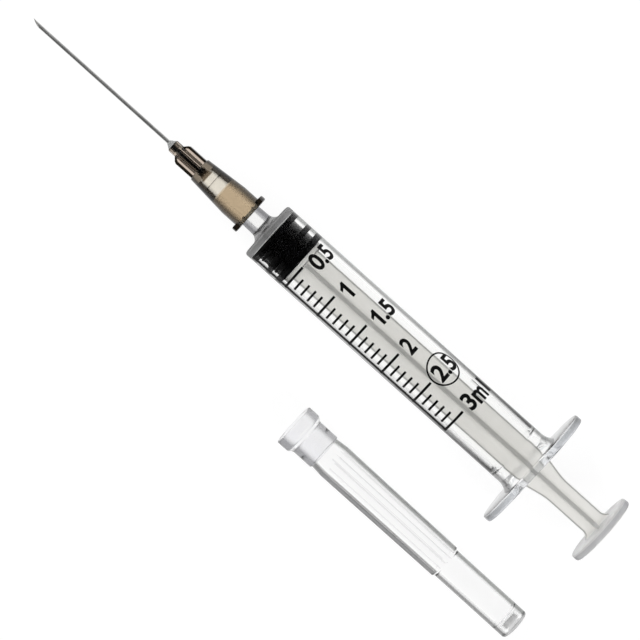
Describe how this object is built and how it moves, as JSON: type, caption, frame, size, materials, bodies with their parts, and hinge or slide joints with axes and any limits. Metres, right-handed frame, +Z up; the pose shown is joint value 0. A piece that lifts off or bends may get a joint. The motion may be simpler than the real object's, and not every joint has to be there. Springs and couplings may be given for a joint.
{
  "type": "hypodermic syringe with needle",
  "caption": "Clear disposable syringe with a sliding plunger, a winged needle on its nozzle, and the needle's clear cap lying beside it.",
  "frame": {"origin": "on the surface that it lies on, under the middle of the box round the syringe and its cap", "axes": "+X from the needle's tip towards the thumb rest, +Y away from the cap, +Z up"},
  "size_m": [0.1358, 0.0396, 0.0142],
  "materials": {
    "clear_plastic": "clear moulded polypropylene",
    "milky_plastic": "natural translucent moulded polypropylene",
    "black_rubber": "smooth black rubber with a film of silicone oil",
    "smoky_plastic": "translucent brown-black moulded plastic",
    "needle_steel": "drawn stainless steel tube",
    "clear_adhesive": "cured whitish adhesive"
  },
  "bodies": {
    "barrel": {"barrel": "clear_plastic", "needle_cap": "clear_plastic"},
    "gasket": {"gasket": "black_rubber"},
    "plunger_rod": {"plunger_rod": "milky_plastic"},
    "needle": {"needle_hub": "smoky_plastic", "cannula": "needle_steel", "needle_adhesive": "clear_adhesive"}
  },
  "joints": [
    {"name": "plunger_slide", "type": "slide", "parent": "barrel", "child": "gasket", "axis": [0.9998, 0, 0.0217], "range_m": [0, 0.049]},
    {"name": "rod_spin", "type": "hinge", "parent": "gasket", "child": "plunger_rod", "pos_m": [-0.00426, 0.00763, 0.00582], "axis": [0.9998, 0, 0.0217], "continuous": true},
    {"name": "needle_pull_off", "type": "slide", "parent": "barrel", "child": "needle", "axis": [-0.9998, 0, -0.0217], "range_m": [0, 0.009]}
  ]
}
